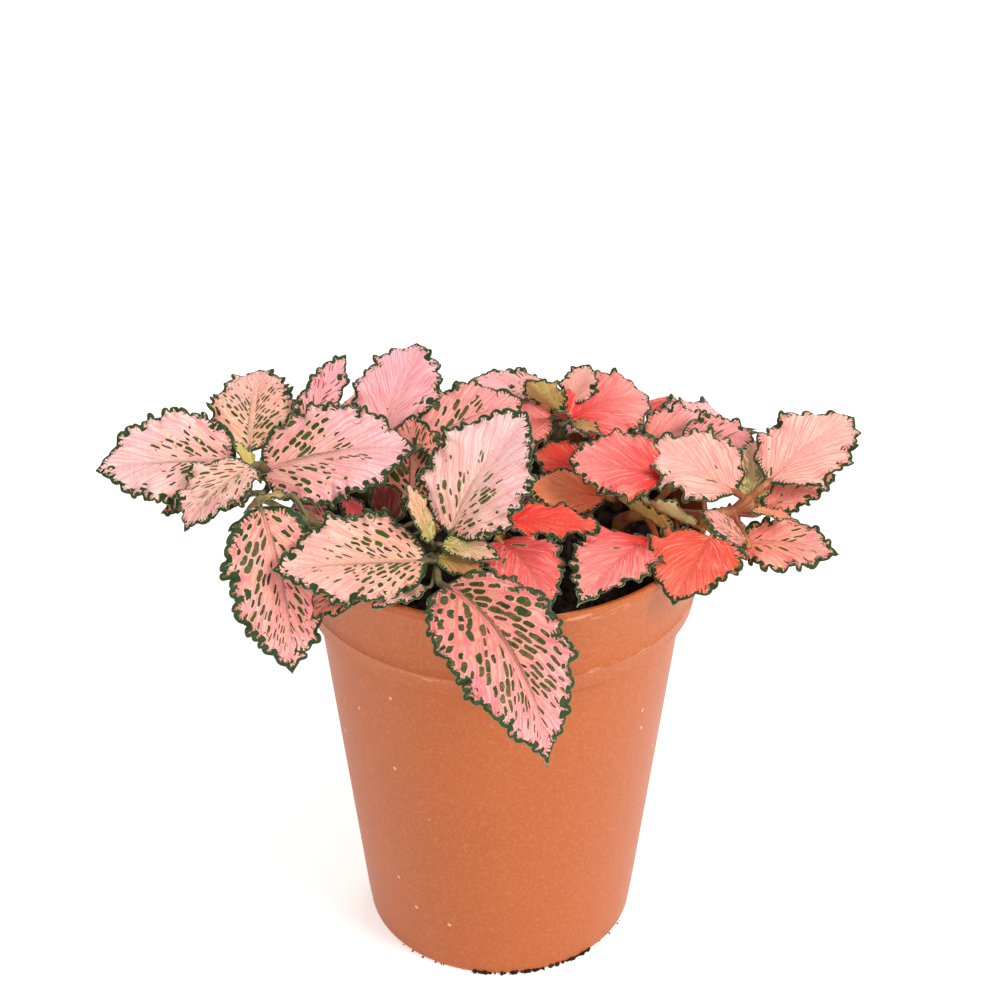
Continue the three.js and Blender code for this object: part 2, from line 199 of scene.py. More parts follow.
shoot(
    "shoot_left",
    [(-26, 4), (-29, 3, 109), (-38, 0, 114), (-50, -4, 117)],
    leaf(-56, -4, 121, 183, 8, 22, -32, 30, 22, "pale", point=0.5),
    leaf(-53.5, -1, 121.5, 91, 14, 20, 0, 33, 18, "lime"),
    leaf(-52, -9, 122.5, 224, 4, 55, 0, 21, 16, "salmon", point=0.7),
    leaf(-50.5, -5.5, 119, 4, 17, 18, 28, 33.8, 24, "pink", point=0.6),
    leaf(-44, 3, 120, 66, 32, 15, 35, 27, 9, "streaked"),
    leaf(-52, -9, 116, 192, 3, 20, 0, 20, 11, "dusky"),
    leaf(-34, -2, 111, 310, -20, 10, 10, 11, 5, "deep", joint=0.6),
    leaf(-52, -5, 119, 160, 55, 0, 0, 8, 4.5, "sprout", seed=62),
)
shoot(
    "shoot_side",
    [(-28, -14), (-31, -16, 106), (-40, -20, 116)],
    leaf(-49.3, -22, 120.5, 292, -38, 45, 0, 36, 21.5, "hanging", point=0.7),
    leaf(-44, -18, 121, 200, 5, 40, 20, 10, 8, "turned"),
    leaf(-34, -12, 108.5, 140, 8, 8, 10, 14, 9, "dusky", joint=0.7, seed=61),
)
shoot(
    "shoot_front",
    [(-12, -12), (-13, -18, 106), (-13, -24, 111)],
    leaf(-15, -29, 112, 190, 8, 12, -25, 32, 22, "cream", point=0.8),
    leaf(-10, -24, 115, 37, 60, 22, 15, 30, 24, "pale"),
    leaf(-11, -37, 111, 308, 5, 85, 8, 46, 26, "netted", point=1.1),
    leaf(-14, -25, 114, 155, 65, 0, 0, 14, 7, "young"),
    leaf(-12, -26, 114, 342, 5, 20, 20, 13, 6, "young"),
    leaf(-13, -28, 112, 341, 0, 15, 20, 11, 6, "olive"),
    leaf(-15, -36, 110, 202, 0, 20, 0, 12, 7, "cream"),
    leaf(-24, -33, 110, 201, 3, 50, 0, 17, 13, "dusky"),
)
shoot(
    "shoot_rear_left",
    [(-14, 10), (-17, 9, 110), (-20, 8, 117)],
    leaf(-25, 8, 121, 74, 30, 15, 0, 26, 19, "clean"),
    leaf(-18, 5, 119, 30, 14, 8, 30, 27, 19, "rosy"),
    leaf(-19, 1, 107, 88, 65, -5, 0, 20, 15, "dusky", joint=0.6),
)
shoot(
    "shoot_rear",
    [(10, 14), (12, 17, 110), (14, 19, 119)],
    leaf(12, 18, 119, 190, 3, 15, -30, 22, 16, "blush"),
    leaf(13, 18, 121, 185, 48, 0, 60, 11, 10, "turned"),
    leaf(16, 21, 121, 60, 45, 10, 0, 10, 9, "bare"),
    leaf(15, 17, 119, 32, 9, 20, 28, 22, 19, "flame"),
    leaf(11, 22, 123, 172, 12, 10, -20, 18, 9, "pink"),
    leaf(16, 16, 119, 320, 10, 20, 0, 8, 5, "olive"),
    leaf(14, 16.5, 119.5, 255, 45, 0, 0, 7, 4, "sprout"),
)
shoot(
    "shoot_rear_right",
    [(26, 12), (29, 14, 108), (32, 16, 113)],
    leaf(32, 17.3, 113.6, 16, 10, 5, 25, 17, 13, "blush"),
    leaf(40, 12, 116, 6, 6, 10, 25, 16, 13, "rosy"),
)
shoot(
    "shoot_middle",
    [(19, 3), (20, 4, 106), (21, 5, 109)],
    leaf(23, 0, 109.5, 172, 8, 10, -30, 18, 11, "glow"),
    leaf(20, 8, 111, 160, 15, 10, -15, 14, 12, "scarlet"),
)
shoot(
    "shoot_near_right",
    [(3, -8), (2, -9, 104), (0, -11, 107)],
    leaf(0, -15, 107.5, 291, 20, 38, 0, 29, 17, "ember", point=0.7),
    leaf(1, -9, 109, 354, 5, 12, 5, 21, 12, "scarlet"),
)
shoot(
    "shoot_right",
    [(26, 0), (32, -4, 108), (44, -10, 111), (51, -9, 112)],
    leaf(50, -7, 115, 148, 25, 25, -12, 22, 20, "bare"),
    leaf(57, -6, 117, 38, 21, 10, 10, 26, 20, "bare"),
    leaf(53.5, -7, 113, 84, 26, 5, 0, 16, 11, "young"),
    leaf(56, -9, 112, 24, 20, 12, 10, 18, 10, "coral"),
    leaf(53, -11, 113, 340, 5, 15, 0, 10, 4, "shrimp"),
    leaf(52, -15, 107, 165, 38, 10, 0, 12, 12, "hanging"),
    leaf(51, -13, 106, 348, 8, 16, 22, 21, 14, "coral", point=0.6),
    leaf(60, 1, 111, 80, 4, 10, 0, 20, 10, "pink"),
    leaf(35, -4, 117, 168, 14, 18, -25, 21, 17, "flame", joint=0.55),
    # a red leaf whose dark colour is painted shade
    leaf(36, 0, 113, 110, 35, 10, 0, 13, 9, "red_in_painted_shade", joint=0.55),
    leaf(32, -15, 108, 238, 22, 40, 0, 32, 18, "flame", joint=0.55, point=1.1),
    leaf(44, -19, 111.3, 243, 9, 50, 0, 21, 20, "red", joint=0.8, point=0.9),
    leaf(37, -11, 107, 137, 12, 5, 65, 17, 9, "ochre", joint=0.7),
    leaf(42, -12.5, 110, 148, 8, 8, 60, 16, 9, "leek", joint=0.8),
)
shoot(
    "shoot_back_left",
    [(-18, 24), (-21, 28, 107), (-24, 31, 110)],
    leaf(-28, 36, 110, 138, -8, 45, 0, 28, 20, "hanging"),
    leaf(-30, 29, 110, 190, 5, 35, 0, 26, 15, "pink"),
    leaf(-21, 36, 110, 84, 0, 55, 0, 28, 17, "cream"),
)
shoot(
    "shoot_back",
    [(5, 28), (6, 31, 106), (7, 34, 109)],
    leaf(4, 38, 111, 112, 0, 65, 0, 30, 17, "netted"),
    leaf(9, 38, 110, 62, -3, 55, 0, 28, 17, "pink"),
    leaf(2, 34, 112, 200, 5, 25, 0, 19, 14, "clean"),
    leaf(12, 33, 112, 325, 5, 25, 0, 19, 14, "pink"),
)
shoot(
    "shoot_back_right",
    [(26, 23), (29, 25, 107), (33, 28, 110)],
    leaf(38, 31, 110, 36, 3, 60, 0, 30, 17, "pink"),
    leaf(32, 35, 110, 88, -4, 50, 0, 27, 16, "ember"),
    leaf(37, 24, 110, 343, 5, 45, 0, 24, 13, "hanging"),
)
shoot(
    "shoot_centre",
    [(-6, 2), (-6, 4, 105), (-7, 5, 108)],
    leaf(-6, 9, 109, 80, 10, 25, 0, 17, 13, "deep"),
    leaf(-8, 1, 108, 242, 5, 20, 0, 13, 10, "red"),
    # three red leaves whose dark colour is painted shade, low among the stems
    leaf(-3, 3, 106.5, 5, -2, 10, 0, 14, 10, "red_in_painted_shade"),
    leaf(-23, -6, 106.5, 118, 48, 0, 0, 10, 8, "red_in_painted_shade"),
    leaf(-20, -8, 105, 168, 0, 5, 0, 15, 9, "red_in_painted_shade"),
)


# ---- meshes ----
def mesh_object(name, vertices, faces, *materials, smooth=True):
    """An object from vertices in mm and faces of three or four corners, with its materials."""
    mesh = bpy.data.meshes.new(name)
    vertices = np.asarray(vertices, np.float32) * MM
    loops = np.concatenate([np.asarray(f, np.int32).ravel() for f in faces])
    totals = np.concatenate([np.full(len(f), len(f[0]), np.int32) for f in faces if len(f)])
    starts = (np.cumsum(totals) - totals).astype(np.int32)
    mesh.vertices.add(len(vertices))
    mesh.vertices.foreach_set("co", vertices.ravel())
    mesh.loops.add(len(loops))
    mesh.loops.foreach_set("vertex_index", loops)
    mesh.polygons.add(len(totals))
    mesh.polygons.foreach_set("loop_start", starts)
    mesh.polygons.foreach_set("loop_total", totals)
    mesh.polygons.foreach_set("use_smooth", np.full(len(totals), smooth))
    mesh.update(calc_edges=True)
    mesh.validate()
    for material in materials:
        mesh.materials.append(material)
    made = bpy.data.objects.new(name, mesh)
    bpy.context.scene.collection.objects.link(made)
    return made


def give_attribute(obj, name, values):
    """Three numbers kept at each vertex for the material."""
    layer = obj.data.attributes.new(name, "FLOAT_VECTOR", "POINT")
    layer.data.foreach_set("vector", values.astype(np.float32).ravel())


def settle(obj, slot, *nodes):
    """Rides on the frame's one body, in place of the nodes that it stands for."""
    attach(obj, "root")
    if nodes:
        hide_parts(*nodes)


def run_along(line):
    """How far along a line of points each of them lies."""
    return np.concatenate([[0], np.cumsum(np.linalg.norm(np.diff(line, axis=0), axis=1))])


# ---- a leaf's form ----
def outline(u, point):
    """Half the width at u along the leaf, as a share of its widest, with its tip drawn out."""
    return (u / WIDEST) ** SHOULDER * ((1 - u) / (1 - WIDEST)) ** TAPER * (1 - u**6) ** point


def at_places(places, known, points):
    """Points between others, by where these are known to lie along a line."""
    return np.stack([np.interp(places, known, points[:, c]) for c in range(3)], 1)


def margin_steps(item):
    """How many straight steps the margin of the solid leaf has on each side."""
    return 16 if item["length"] >= 34 else 12 if item["length"] >= 18 else 8


def midrib(item, u):
    """Points of the midrib at each u, and the ways along it, to its left and up from the blade."""
    fine = np.linspace(0, 1, AXIS_STEPS + 1)
    pitch = np.radians(item["rise"] - item["droop"] * fine)[:, None]
    heading, roll = item["heading"], item["roll"]
    ahead = np.array([math.cos(heading), math.sin(heading), 0])
    level = np.cross(UP, ahead)
    along = np.cos(pitch) * ahead + np.sin(pitch) * UP
    over = np.cross(along, level)
    left = level * math.cos(roll) + over * math.sin(roll)
    up = over * math.cos(roll) - level * math.sin(roll)
    step = (along[1:] + along[:-1]) / 2 * item["length"] / AXIS_STEPS
    line = item["base"] + np.concatenate([[[0, 0, 0]], np.cumsum(step, 0)])
    return [at_places(u, fine, values) for values in (line, along, left, up)]


def margin(item, side, u):
    """At each u: the lobes' reach as a share, and in mm their waves, scallops, ruffle and hook."""
    seed, length = item["seed"], item["length"]
    wave = 2 if length > 20 else 1.4 if length > 14 else 0.8
    lobes = margin_steps(item) // 2
    reach = np.zeros(lobes)
    lift = np.zeros(lobes)
    notch = np.zeros(lobes + 1)
    for n in range(lobes):
        flip = 1 if (n + (seed if side > 0 else seed + 1)) % 2 == 0 else -1
        reach[n] = 0.03 + 0.07 * draw(n + 3 * side, seed)
        lift[n] = flip * wave * (0.35 + 0.65 * draw(n + 31 + 7 * side, seed))
        notch[n] = -0.01 - 0.05 * draw(n + 57 + 5 * side, seed)
    k = np.clip(u * lobes, 0, lobes - 1e-6)
    n = k.astype(int)
    t = k - n
    low = notch[n] * (1 - t) + notch[n + 1] * t
    reach = low + (reach[n] - low) * np.sin(np.pi * t) ** 0.6

    # each lobe has a few scallops, which lean over each other and curl up and down in turn
    scallops = max(2, round(length / lobes / SCALLOP))
    v = scallops * k + 0.3 * np.sin(2.1 * k + 6 * draw(seed, 5 + side))
    chance = np.array([draw(int(s) + 7 * side, seed + 90) for s in np.floor(v)])
    crimp = min(0.72, 0.05 * item["width"])
    frill = crimp * ((0.35 + 1.6 * chance) * np.abs(np.sin(np.pi * v)) ** 0.7 - 0.6)
    ruffle = min(1.2, 0.065 * item["width"]) * np.sin(np.pi * v) * (0.35 + 0.65 * chance)
    swell = np.sin(np.pi * v) ** 2 - 0.7 * np.sin(2 * np.pi * v)
    hook = 0.5 * crimp * (0.4 + 0.6 * chance) * swell
    return reach, 0.75 * lift[n] * np.sin(np.pi * t), frill, ruffle, hook


def blade(item):
    """The blade's middle sheet, as rows along the leaf by columns across it, with its flat map."""
    length = item["length"]
    fineness = ((34, 208, 14), (24, 176, 14), (15, 124, 11), (0, 88, 8))
    rows, half_columns = next((rows, half) for above, rows, half in fineness if length > above)
    x = np.linspace(0, 1, rows + 1)
    u = 0.6 * x + 0.4 * x * x * (3 - 2 * x)
    line, along, left, up = midrib(item, u)
    share = 1 - (1 - np.linspace(0, 1, half_columns + 1)) ** 1.5
    wide = outline(u, item["point"])
    ends = np.clip(wide * 3, 0, 1)
    sheets = []
    flats = []
    for side in (-1, 1):
        reach, lift, frill, ruffle, hook = margin(item, side, u)
        half = item["width"] / 2 * wide[:, None] * (1 + reach[:, None] * share**1.5)
        half += (frill * ends)[:, None] * share**3
        shift = (hook * ends)[:, None] * share**4
        across = half * share * math.cos(CUP)
        rise = half * (share * math.sin(CUP) - CURL * share**3)
        rise += np.sqrt(wide)[:, None] * (lift[:, None] * share**2.5 + ruffle[:, None] * share**5)
        points = line[:, None] + side * across[..., None] * left[:, None]
        points += rise[..., None] * up[:, None] + shift[..., None] * along[:, None]
        sheets.append(points)
        flats.append(np.stack([(u * length)[:, None] + shift, side * half * share], 2))
    sheet, flat = [np.concatenate([a[:, ::-1], b[:, 1:]], 1) for a, b in (sheets, flats)]
    return sheet, flat, np.concatenate([-share[::-1], share[1:]]), u


def sheet_normals(sheet):
    """The sheet's normals, with those of its narrow ends taken from the rows next to them."""
    n = np.cross(np.gradient(sheet, axis=0), np.gradient(sheet, axis=1))
    n = n / np.maximum(np.linalg.norm(n, axis=2, keepdims=True), 1e-9)
    n[:2] = n[2]
    n[-2:] = n[-3]
    return n


def edge_distance(flat, folds):
    """From each point of the flat leaf, the mm to its margin or folds, and how far round it is."""
    rim = np.concatenate([flat[:, 0], flat[::-1, -1]])
    run = run_along(rim)
    added = np.concatenate([0 * run, folds[:, 2]])
    run = np.concatenate([run, 0.4 * np.arange(len(folds))])
    rim = np.concatenate([rim, folds[:, :2]])
    points = flat.reshape(-1, 2)
    best = np.full(len(points), np.inf)
    where = np.zeros(len(points))
    at_once = 64
    for start in range(0, len(rim), at_once):
        part = slice(start, start + at_once)
        gap = np.linalg.norm(points[:, None] - rim[None, part], axis=2) + added[None, part]
        where = np.where(gap.min(1) < best, run[start + gap.argmin(1)], where)
        best = np.minimum(best, gap.min(1))
    return best.reshape(flat.shape[:2]), where.reshape(flat.shape[:2])


def fold_points(item, flat, u):
    """Points of the green folds that run in from some notches, and by how much they are thinner."""
    steps = margin_steps(item)
    fold_samples = 6
    found = []
    for side, column in ((-1, 0), (1, -1)):
        for n in range(1, steps):
            row = int(np.argmin(np.abs(u - n / steps)))
            edge = flat[row, column]
            depth = item["width"] * 0.11 * draw(n + 11 * side, item["seed"] + 3) ** 2
            way = np.array([-0.4, -side])
            for k in range(fold_samples):
                found.append([*(edge + way * depth * k / (fold_samples - 1)), 0.16 * k])
    return np.array(found)


def leaf_object(name, item, materials):
    """A closed blade, thin at its margin, with its veins raised below and sunk above."""
    sheet, flat, shares, u = blade(item)
    rows, columns = sheet.shape[:2]
    normal = sheet_normals(sheet)
    d = np.abs(flat[..., 1])
    w = (flat[..., 0] - FAN_START * d) / (1 + FAN_GAIN * d / item["length"])
    along = np.hypot(flat[..., 0], d)
    w = w / item["length"] * SIDE_VEINS + np.where(flat[..., 1] > 0, OTHER_SIDE, 0)
    edge, round_rim = edge_distance(flat, fold_points(item, flat, u))
    inside = np.clip(edge / 2.5, 0, 1)
    lateral = np.exp(-((w % 1 - 0.5) ** 2) / 0.012)
    size = min(1, item["length"] / FULL_LEAF)
    main = np.exp(-((d / (0.45 * size)) ** 2)) * (1 - 0.85 * u)[:, None]
    fade = np.clip(u * 8, 0, 1)[:, None] * np.clip((1 - u) * 5, 0, 1)[:, None]
    quilt = 0.07 * size * inside * fade * (1 - 2 * lateral)
    thick = BLADE / 2 * (1 - np.abs(shares) ** 6)[None, :] * np.ones((rows, 1))
    groove = 0.16 * size * main + 0.05 * size * lateral * inside * fade
    ridge = 0.55 * size * main + 0.12 * size * lateral * inside * fade
    top = sheet + normal * (thick + quilt - groove)[..., None]
    low = sheet + normal * (quilt - thick - ridge)[..., None]
    for face in (top, low):
        face[:, 0], face[:, -1] = sheet[:, 0], sheet[:, -1]
        face[0], face[-1] = sheet[0], sheet[-1]

    # vertices: base, tip, then the rows between them, top first and then below without the rim
    inner = rows - 2
    upper = 2 + np.arange(inner * columns).reshape(inner, columns)
    lower = np.empty((inner, columns), int)
    lower[:, 1:-1] = 2 + inner * columns + np.arange(inner * (columns - 2)).reshape(inner, -1)
    lower[:, 0], lower[:, -1] = upper[:, 0], upper[:, -1]

    def stack(above, below):
        inner_parts = (above[1:-1], below[1:-1, 1:-1])
        flattened = [part.reshape(-1, part.shape[-1]) for part in inner_parts]
        return np.concatenate([above[:1, 0], above[-1:, 0], *flattened])

    quads = []
    ends = []
    for index, turn in ((upper, -1), (lower, 1)):
        quad = [index[:-1, :-1], index[:-1, 1:], index[1:, 1:], index[1:, :-1]]
        quads.append(np.stack(quad[:1] + quad[1:][::turn], 2).reshape(-1, 4))
        base, tip = np.zeros(columns - 1, int), np.ones(columns - 1, int)
        first = np.stack([base, index[0, :-1], index[0, 1:]], 1)
        last = np.stack([tip, index[-1, 1:], index[-1, :-1]], 1)
        ends.append(np.concatenate([first[:, ::turn], last[:, ::turn]]))
    faces = quads + ends
    obj = mesh_object(name, stack(top, low), faces, *materials)

    # the material's own map of the leaf: across and along the side veins, and mm to the margin
    base, tip, under, flecks, spread, cell_rows, cell_size, margin_width = item["look"]
    mix = np.clip(u[:, None] * 1.2 + 0.3 * d / item["width"] - 0.1, 0, 1)[..., None]
    varying = {
        "pattern": np.stack([w, along, edge], 2),
        "place": np.stack([u[:, None] + 0 * d, d, round_rim], 2),
        "tone": np.array(base) * (1 - mix) + np.array(tip) * mix,
    }
    same = {
        "traits": (flecks, spread, margin_width * (0.6 + 0.4 * size)),
        "extra": (cell_size, item["seed"], cell_rows),
        "under": under,
    }
    for key, values in varying.items():
        give_attribute(obj, key, stack(values, values))
    for key, value in same.items():
        give_attribute(obj, key, np.tile(value, (len(obj.data.vertices), 1)))
    sides = np.repeat([0, 1, 0, 1], [len(group) for group in faces]).astype(np.int32)
    obj.data.polygons.foreach_set("material_index", sides)
    bake_map(obj, u, shares, upper, lower, sides)
    return obj


def bake_map(obj, u, shares, upper, lower, sides):
    """A map with the blade's upper face in its left half and its lower face in its right half."""
    place = np.zeros((2, len(obj.data.vertices), 2))
    across = 0.02 + 0.46 * (shares + 1) / 2
    for side, index in enumerate((upper, lower)):
        place[side, index, 0] = across + 0.5 * side
        place[side, index, 1] = 0.02 + 0.96 * u[1:-1, None]
        place[side, 0] = (0.25 + 0.5 * side, 0.02)
        place[side, 1] = (0.25 + 0.5 * side, 0.98)
    loops = np.empty(len(obj.data.loops), np.int32)
    obj.data.loops.foreach_get("vertex_index", loops)
    corners = np.empty(len(sides), np.int32)
    obj.data.polygons.foreach_get("loop_total", corners)
    layer = obj.data.uv_layers.new(name="OFBake")
    layer.data.foreach_set("uv", place[np.repeat(sides, corners), loops].astype(np.float32).ravel())


# ---- stems ----
def catmull(points, samples):
    """A centripetal Catmull-Rom curve through the points, as that many even samples."""
    p = [np.array(q, float) for q in points]
    p = [2 * p[0] - p[1]] + p + [2 * p[-1] - p[-2]]
    fine = []
    for i in range(1, len(p) - 2):
        t = [0.0]
        for a, b in zip(p[i - 1 : i + 2], p[i : i + 3]):
            t.append(t[-1] + max(np.linalg.norm(b - a), 1e-9) ** 0.5)

        def between(start, end, s, a, b):
            return ((t[end] - s) * a + (s - t[start]) * b) / (t[end] - t[start])
        for s in np.linspace(t[1], t[2], 24, endpoint=False):
            a = [between(k, k + 1, s, p[i - 1 + k], p[i + k]) for k in range(3)]
            b = [between(k, k + 2, s, a[k], a[k + 1]) for k in range(2)]
            fine.append(between(1, 2, s, b[0], b[1]))
    fine = np.array(fine + [p[-2]])
    run = run_along(fine)
    return at_places(np.linspace(0, run[-1], samples), run, fine)


def lace(rings, sides):
    """Quads between rings of vertices, and triangles to the two vertices that come after them."""
    k, s = np.meshgrid(np.arange(rings - 1), np.arange(sides), indexing="ij")
    n = (s + 1) % sides
    quads = np.stack([k * sides + s, k * sides + n, (k + 1) * sides + n, (k + 1) * sides + s], 2)
    s, n = s[0], n[0]
    start, end = (rings - 1) * sides, rings * sides
    first = np.stack([np.full(sides, end), n, s], 1)
    last = np.stack([np.full(sides, end + 1), start + s, start + n], 1)
    return quads.reshape(-1, 4), np.concatenate([first, last])


def tube(line, radii, sides):
    """Vertices and faces of a round tube along a line, closed at both ends."""
    tangent = np.gradient(line, axis=0)
    tangent /= np.linalg.norm(tangent, axis=1, keepdims=True)
    side = np.cross(tangent[0], [0.3, 0.2, 1.0])
    angle = np.linspace(0, 2 * np.pi, sides, endpoint=False)[:, None]
    rings = []
    for point, along, radius in zip(line, tangent, radii):
        side = side - along * side.dot(along)
        side /= np.linalg.norm(side)
        way = np.cos(angle) * side + np.sin(angle) * np.cross(along, side)
        rings.append(point + way * radius)
    return np.concatenate(rings + [line[:1], line[-1:]]), *lace(len(line), sides)


def join(parts):
    """Several (vertices, quads, triangles) as one."""
    vertices, quads, triangles = [], [], []
    count = 0
    for v, q, t in parts:
        vertices.append(v)
        quads.append(np.asarray(q, int).reshape(-1, 4) + count)
        triangles.append(np.asarray(t, int).reshape(-1, 3) + count)
        count += len(v)
    return np.concatenate(vertices), np.concatenate(quads), np.concatenate(triangles)


def stem_line(stem):
    """A stem's middle line: upright in the mix, and bent above it."""
    (x, y), *rest = stem
    foot = [(x, y, SOIL_HEIGHT + z) for z in (-STEM_DEPTH, -STEM_DEPTH / 2, -1, 3)]
    return catmull(foot + rest, 60)


def stalk(item, line):
    """The stalk from inside the stem to a little way under the blade."""
    start = line[int(round(item["joint"] * (len(line) - 1)))]
    point, along, _, up = midrib(item, np.array([0.0, 0.06, 0.12]))
    small = item["length"] < SMALL_LEAF
    before = item["base"] - along[0] * (1 if small else 2)
    radius = 0.6 if small else PETIOLE_RADIUS
    path = [start, before, item["base"], point[1] - up[1] * 0.35, point[2] - up[2] * 0.4]
    curve = catmull(path, 26)
    x = np.linspace(0, 1, len(curve))
    radii = radius * (1.25 - 0.35 * np.clip(x * 2.5, 0, 1))
    radii *= 1 - 0.75 * np.clip((x - 0.72) / 0.28, 0, 1)
    return tube(curve, radii, 12)


def hairs(line, radii, seed):
    """Fine short hairs that stand out all round a stem."""
    rng = np.random.default_rng(seed)
    vertices, triangles = [], []
    tangent = np.gradient(line, axis=0)
    for _ in range(int(run_along(line)[-1] * HAIRS_PER_MM)):
        at = rng.uniform(0.08, 0.98) * (len(line) - 1)
        i = int(at)
        point = line[i] * (1 - at + i) + line[min(i + 1, len(line) - 1)] * (at - i)
        t = tangent[i] / np.linalg.norm(tangent[i])
        way = rng.normal(size=3)
        way -= t * way.dot(t)
        way /= np.linalg.norm(way)
        side = np.cross(t, way) * 0.035
        root = point + way * radii[i] * 0.9
        end = root + (way + t * rng.uniform(-0.3, 0.5)) * rng.uniform(0.35, 0.8)
        n = len(vertices)
        vertices += [root + side, root - side, root + t * 0.05, end]
        triangles += [(n, n + 1, n + 3), (n + 1, n + 2, n + 3), (n + 2, n, n + 3)]
        triangles += [(n, n + 2, n + 1)]
    return vertices, [], triangles


def stem_object(name, stem, leaves, material):
    """A shoot's stem, which swells at its nodes, with its hairs and its leaves' stalks."""
    line = stem_line(stem)
    x = np.linspace(0, 1, len(line))
    swelling = 0.14 * np.exp(-(((x * 4) % 1 - 0.5) ** 2) / 0.01)
    radii = STEM_RADIUS * (1.02 - 0.2 * x + swelling)
    parts = [tube(line, radii, 18), hairs(line, radii, len(name))]
    parts += [stalk(item, line) for item in leaves]
    vertices, quads, triangles = join(parts)
    return mesh_object(name, vertices, [quads, triangles], material)


# ---- shader nodes ----
class Number:
    """A number that shader nodes work out, to be added, multiplied and so on."""

    def __init__(self, socket):
        self.socket = socket

    def maths(self, operation, *others, clamp=False):
        inputs = dict(enumerate((self, *others)))
        return Number(node("Math", inputs, operation=operation, use_clamp=clamp).outputs[0])

    def __add__(self, other):
        return self.maths("ADD", other)

    def __sub__(self, other):
        return self.maths("SUBTRACT", other)

    def __mul__(self, other):
        return self.maths("MULTIPLY", other)

    def __truediv__(self, other):
        return self.maths("DIVIDE", other)

    def __pow__(self, other):
        return self.maths("POWER", other)

    def below(self, other):
        return self.maths("LESS_THAN", other)

    def to_whole(self):
        """How far it is from the nearest whole number."""
        return self.maths("PINGPONG", 0.5)

    def to_half(self):
        """How far it is from the middle between two whole numbers."""
        return (self.maths("FRACT") - 0.5).maths("ABSOLUTE")

    def step(self, low, high):
        """0 below 'low' and 1 above 'high', or the other way round where low is above high."""
        inputs = {"Value": self, "From Min": low, "From Max": high}
        return Number(node("MapRange", inputs, interpolation_type="SMOOTHSTEP").outputs[0])


def fill(socket, value):
    """Gives a socket a value, a linear colour, a Number or another node's output."""
    if isinstance(value, Number):
        value = value.socket
    if isinstance(value, bpy.types.NodeSocket):
        socket.id_data.links.new(value, socket)
    elif socket.type == "RGBA":
        socket.default_value = (*value, 1)
    else:
        socket.default_value = value


def node(kind, inputs, tree=None, **settings):
    """A node with its inputs and settings, in the tree of the nodes that its inputs come from."""
    for value in inputs.values():
        tree = tree or getattr(getattr(value, "socket", value), "id_data", None)
    made = tree.nodes.new("ShaderNode" + kind)
    for key, value in settings.items():
        setattr(made, key, value)
    for key, value in inputs.items():
        fill(made.inputs[key], value)
    return made


def material_tree(name):
    """A new material's node tree and a function that sets its shader and returns the material."""
    made = bpy.data.materials.new(name)
    made.use_nodes = True
    shader = made.node_tree.nodes["Principled BSDF"]

    def shaded(**values):
        for key, value in values.items():
            fill(shader.inputs[key.replace("_", " ")], value)
        return made
    return made.node_tree, shaded


def place_of(tree):
    return node("TexCoord", {}, tree).outputs["Object"]


def vector(x, y, z=0.0):
    return node("CombineXYZ", {0: x, 1: y, 2: z}).outputs[0]


def split(socket):
    """The three numbers of a vector or a colour."""
    return [Number(part) for part in node("SeparateXYZ", {0: socket}).outputs]


def parts_of(tree, name):
    """The three numbers of a vertex attribute."""
    return split(node("Attribute", {}, tree, attribute_name=name).outputs["Vector"])


def chances(*cell):
    """Three random numbers from 0 to 1 for a cell."""
    return split(node("TexWhiteNoise", {"Vector": vector(*cell)}).outputs["Color"])


def blend(share, a, b, kind="MIX"):
    """Colour a turned into colour b by a share."""
    return node("Mix", {0: share, 6: a, 7: b}, data_type="RGBA", blend_type=kind).outputs[2]


def tinted(colour, factor):
    """A colour multiplied, channel by channel, by a tuple."""
    return blend(1.0, colour, factor, "MULTIPLY")


def noise(where, scale, detail=2.0, roughness=0.5):
    inputs = {"Vector": where, "Scale": scale, "Detail": detail, "Roughness": roughness}
    return Number(node("TexNoise", inputs).outputs[0])


def bump(height, depth):
    """A normal from a height of 0 to 1 that stands for that depth in mm."""
    return node("Bump", {"Height": height, "Distance": depth * MM}).outputs[0]


# ---- materials ----
def vein_colours(tone, w, a, row, rib, seed):
    """A blade's colour with its side veins and the finer ones, and how much of each is there."""
    soft = noise(vector(w * 1.4, a * 0.25, seed), 1.0)
    fine = noise(vector(w * 5.0, a * 0.14, seed), 1.0, 1.5)
    mottle = noise(vector(w, a * 0.3, seed), 0.5)
    line = row.to_whole().step(0.15, 0.03) * rib.step(0.2, 1.1) * soft.step(0.2, 0.6)
    main = w.to_whole().step(0.08, 0.01)
    deeper = tinted(tone, (0.96, 0.46, 0.54))
    cream = blend(0.4, tone, (1.0, 0.62, 0.42))
    colour = blend(mottle.step(0.35, 0.75) * 0.3, tone, deeper)
    colour = blend(fine.step(0.5, 0.36) * 0.6, colour, cream)
    colour = blend(fine.step(0.47, 0.62) * 0.55, colour, deeper)
    colour = blend(line * 0.65, colour, deeper)
    return blend(main * 0.5, colour, deeper), main, line


